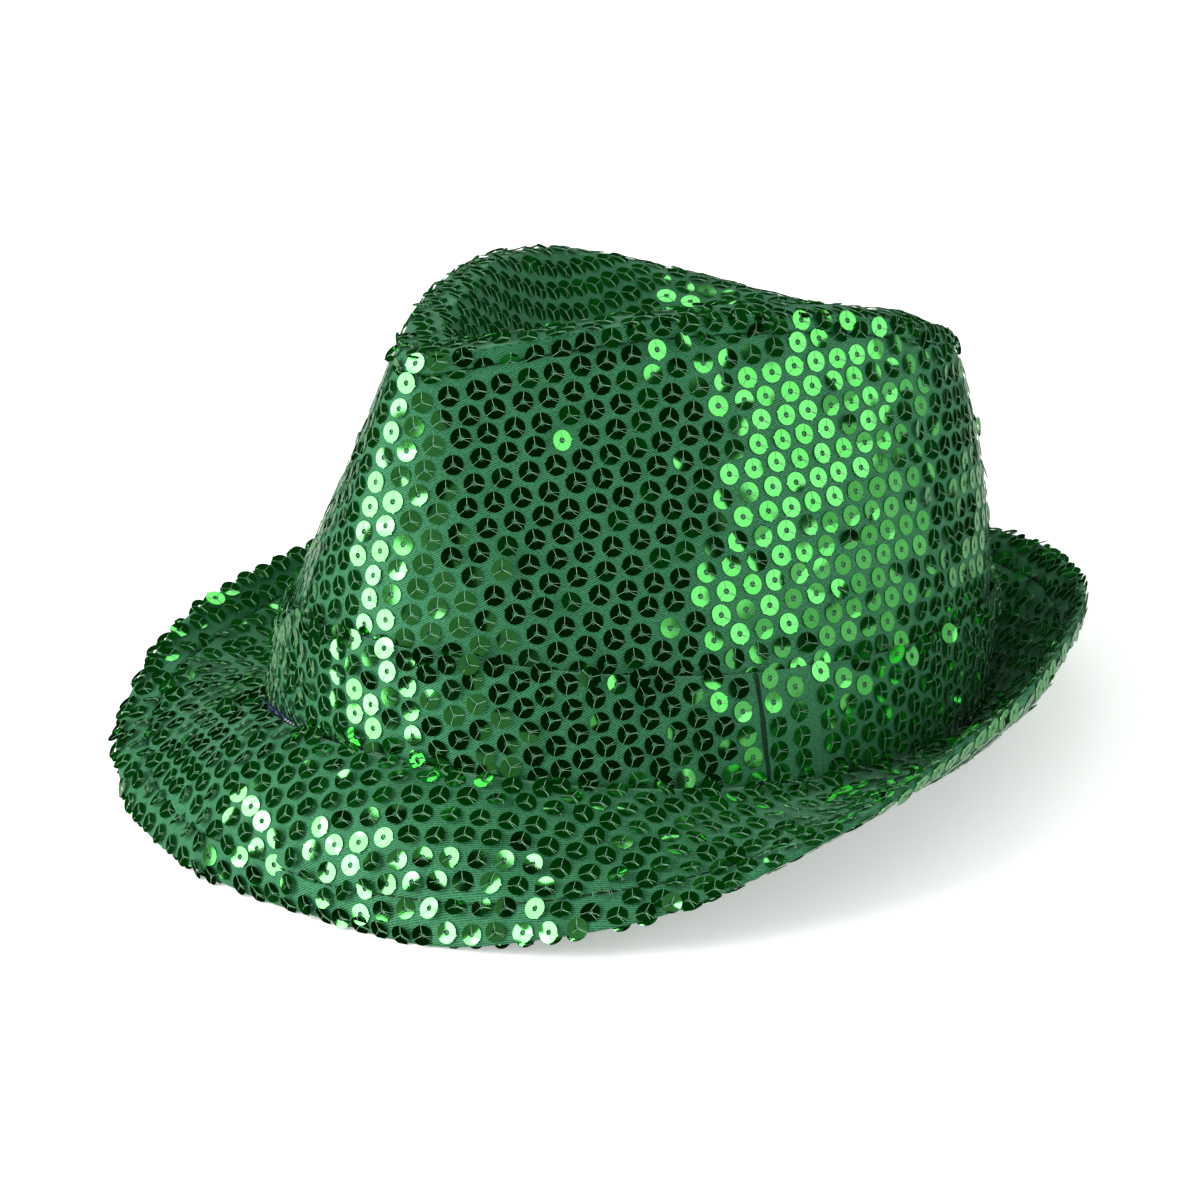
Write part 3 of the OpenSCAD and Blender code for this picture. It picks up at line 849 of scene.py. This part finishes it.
def inside(mat):
    """The hidden layers: stiffeners, lining, sweatband, their sewing and the blank label."""
    rows = np.linspace(0.004, 0.998, 30)
    t, v = np.meshgrid(FULL, rows)
    arc = run_along(foot(FULL))
    slant = 103  # about the crown's height along its side
    strip = np.stack(np.broadcast_arrays(arc[None, :], (rows * slant)[:, None]), -1)
    felt = sheet_of("crown_side_stiffener_felt", side(t, v, -CLOTH - 0.6), mat["felt"], strip, STIFF)
    ride(felt, "stiffener", "crown_side_stiffener")
    pleats = 0.14 * np.sin(np.radians(t) * 46) * smooth(4 * (1 - v)) * smooth(4 * v)
    satin = sheet_of("lining_side_satin", side(t, v, pleats - LINING_IN), mat["lining"], strip, 0)
    ride(satin, "lining", "lining_side")
    declare(strip)
    t2, r = np.meshgrid(FULL, np.linspace(0.004, 1, 40))
    shade = tip_face(t2, r)
    up = outward(tip_face, np.stack([t2.ravel(), np.minimum(r.ravel(), 0.97)], -1), -1).reshape(shade.shape)
    w = smooth((r - 0.86) / 0.14)[..., None]
    away = (1 - w) * up + w * (rim_out(t2) + np.array([0, 0, 1]))
    for name, depth, key, node, thick in (
        ("crown_tip_stiffener_felt", CLOTH + 0.6, "felt", "crown_tip_stiffener", STIFF),
        ("lining_tip_satin", LINING_IN, "lining", "lining_tip", 0),
    ):
        points = shade - depth * away
        piece = sheet_of(name, points, mat[key], points[..., :2], thick, flip=True)
        ride(piece, "stiffener" if key == "felt" else "lining", node)
        if key == "lining":
            declare(lay_flat(points, points[..., :2], closed=True))
    t3, u = np.meshgrid(FULL, np.linspace(0.01, 0.97, 24))
    felt = sheet_of("brim_stiffener_felt", brim_at(t3, u, BRIM_STIFF / 2 + 0 * u), mat["felt"], strip[:24],
                    BRIM_STIFF, flip=True)
    ride(felt, "stiffener", "brim_stiffener")
    high = np.linspace(0.6, SWEAT_HIGH, 8)
    t4, h = np.meshgrid(FULL, high)
    band = side(t4, h / side_length(t4), -SWEAT_IN - 0.35 + 0 * h)
    flat = np.stack(np.broadcast_arrays(arc[None, :], high[:, None]), -1)
    ribbon = sheet_of("sweatband_ribbon", band, mat["ribbon"], flat, 0.6)
    ride(ribbon, "sweatband", "sweatband")
    declare(flat)

    def low(t):
        return side(t, 2.2 / side_length(t), -SWEAT_IN - 1.05), -foot_out(t)

    stitches("sweatband_stitches", low, STITCH, mat["green_thread"], ["sweatband_stitching"])

    def seam(t):
        return side(t, 1 - SEAM_DOWN / side_length(t), -SEW_IN), -foot_out(t)

    ride(stitches("tip_seam_stitches", seam, 2.4, mat["navy_thread"], ["tip_seam_thread"]), "navy_thread")
    v = np.linspace(0.03, 0.93, 80)
    line = side(90 + 0 * v, v, -SEW_IN + 0.08 * np.sin(90 * v))
    sewing = tubes("crown_back_seam_stitches", line[None], THREAD, mat["navy_thread"])
    ride(sewing, "navy_thread", "crown_back_seam")
    tops = np.linspace(SWEAT_HIGH - 3, SWEAT_HIGH + LABEL_HIGH, 12)
    t5, h5 = np.meshgrid(np.linspace(LABEL_FROM, LABEL_TO, 8), tops)
    tag = side(t5, h5 / side_length(t5), -SWEAT_IN - 0.45 - 0.8 * smooth((h5 - SWEAT_HIGH) / 30))
    flat = np.stack([(t5 - LABEL_FROM) * 1.4, h5], -1)
    piece = sheet_of("care_label_tape", tag, mat["label"], flat, 0.25)
    ride(piece, "label", "care_label")
    declare(flat)


# ---- the studio ----


def make_camera():
    a, e, roll = np.radians([LOOK_FROM, LOOK_UP, LOOK_ROLL])
    back = np.array([np.sin(a) * np.cos(e), -np.cos(a) * np.cos(e), np.sin(e)])
    right = np.array([np.cos(a), np.sin(a), 0])
    up = np.cross(back, right)
    right, up = right * np.cos(roll) + up * np.sin(roll), up * np.cos(roll) - right * np.sin(roll)
    middle = np.array([0, 0, CROWN_MIDDLE])
    spot = middle + LOOK_FAR * back
    aim = middle - AIM_LEFT * right - AIM_DOWN * up
    place, target, top = (Vector(placed(p)) for p in (spot, aim, spot + up * 100))
    back = (place - target).normalized()
    right = (top - place).cross(back).normalized()
    up = back.cross(right)
    data = bpy.data.cameras.new("camera")
    data.lens, data.sensor_width = LENS, SENSOR
    data.clip_start, data.clip_end = 0.01, 100
    cam = bpy.data.objects.new("camera", data)
    bpy.context.scene.collection.objects.link(cam)
    cam.matrix_world = Matrix((right, up, back)).transposed().to_4x4()
    cam.location = place
    bpy.context.scene.camera = cam


def softbox(name, azimuth, elevation, wide, high, radiance, colour=(1, 1, 1)):
    """A rectangular light that faces the hat, at an azimuth (from the front towards its left) and elevation
    in the hat's frame. wide and high are the angles it fills, in degrees."""
    a, e = np.radians([azimuth, elevation])
    way = Vector(pitched([np.sin(a) * np.cos(e), -np.cos(a) * np.cos(e), np.sin(e)])).normalized()
    data = bpy.data.lights.new(name, "AREA")
    data.shape = "RECTANGLE"
    data.color = colour
    data.size, data.size_y = (
        2 * LAMPS_FAR * float(np.tan(np.radians(x / 2))) for x in (wide, high))
    data.energy = radiance * np.pi * data.size * data.size_y
    lamp = bpy.data.objects.new(name, data)
    bpy.context.scene.collection.objects.link(lamp)
    lamp.location = Vector((0, 0, LAMPS_AIM)) + way * LAMPS_FAR
    lamp.rotation_mode = "QUATERNION"
    lamp.rotation_quaternion = way.to_track_quat("Z", "Y")
    return lamp


def make_studio():
    """A white sweep, and lights placed by where the sequins of each panel reflect them. A glossy ray that
    meets none of them finds the dim surroundings, so most sequins are dark."""
    bpy.ops.mesh.primitive_plane_add(size=12, location=(0, 0, 0))
    floor = bpy.context.object
    floor.name = "floor"
    paper = material("paper", "floor", (0.9, 0.9, 0.9), 0.9)
    paper.node_tree.nodes["Principled BSDF"].inputs["Specular IOR Level"].default_value = 0
    paper.node_tree.nodes["Principled BSDF"].inputs["Emission Color"].default_value = (1, 1, 1, 1)
    paper.node_tree.nodes["Principled BSDF"].inputs["Emission Strength"].default_value = 0.36
    floor.data.materials.append(paper)
    floor.visible_glossy = floor.visible_shadow = False
    # seen in the sequins of the crown's front, at the left of the picture
    softbox("left_high", -23, 26, 38, 26, 6)
    softbox("left_low", -31, 1, 32, 36, 6)
    # seen in those of its left side, at the right of the picture, and of the tip
    softbox("right", 111, 24, 38, 24, 1.9)
    softbox("right_low", 120, 4, 66, 16, 0.75)
    softbox("top", 216, 62, 18, 14, 2)
    # dim, so that the others are not quite black
    softbox("left_glow", 6, 22, 44, 50, 0.2)
    softbox("front_glow", 298, 12, 70, 70, 0.05, GLOW)
    softbox("back_glow", 190, 30, 76, 56, 0.025, GLOW)
    softbox("right_glow", 128, 12, 60, 50, 0.025, GLOW)
    softbox("ceiling", 180, 78, 110, 80, 0.04, GLOW)
    # behind the hat, for sequins at grazing angles; the camera doesn't see these two
    softbox("behind", 194, -25, 54, 38, 0.55).visible_camera = False
    softbox("behind_left", 250, -12, 44, 10, 0.5).visible_camera = False
    # lights cloth and thread, and isn't seen in the sequins
    softbox("right_fill", 88, 12, 44, 36, 1.5).visible_glossy = False
    world = bpy.data.worlds.new("studio")
    bpy.context.scene.world = world
    world.use_nodes = True
    nodes, links = world.node_tree.nodes, world.node_tree.links
    shown = nodes["Background"]
    fill, dark = nodes.new("ShaderNodeBackground"), nodes.new("ShaderNodeBackground")
    for node, colour, level in ((shown, (1, 1, 1), 1.0), (fill, (1, 1, 1), 0.7), (dark, GLOW, 0.018)):
        node.inputs["Color"].default_value = (*colour, 1)
        node.inputs["Strength"].default_value = level
    path = nodes.new("ShaderNodeLightPath")
    to_dark, to_shown = nodes.new("ShaderNodeMixShader"), nodes.new("ShaderNodeMixShader")
    links.new(path.outputs["Is Glossy Ray"], to_dark.inputs["Fac"])
    links.new(fill.outputs["Background"], to_dark.inputs[1])
    links.new(dark.outputs["Background"], to_dark.inputs[2])
    links.new(path.outputs["Is Camera Ray"], to_shown.inputs["Fac"])
    links.new(to_dark.outputs["Shader"], to_shown.inputs[1])
    links.new(shown.outputs["Background"], to_shown.inputs[2])
    links.new(to_shown.outputs["Shader"], nodes["World Output"].inputs["Surface"])
    bpy.context.scene.view_settings.view_transform = "Standard"


ROOT = "root"

make_camera()
mats = make_materials()
inside(mats)
crown_side(mats)
crown_tip(mats)
brim(mats, 1, "brim_top")
brim(mats, -1, "brim_under")
hatband(mats)
hatband_end(mats)
crown_stitches(mats)
brim_stitches(mats)
base_overlock(mats)
make_studio()
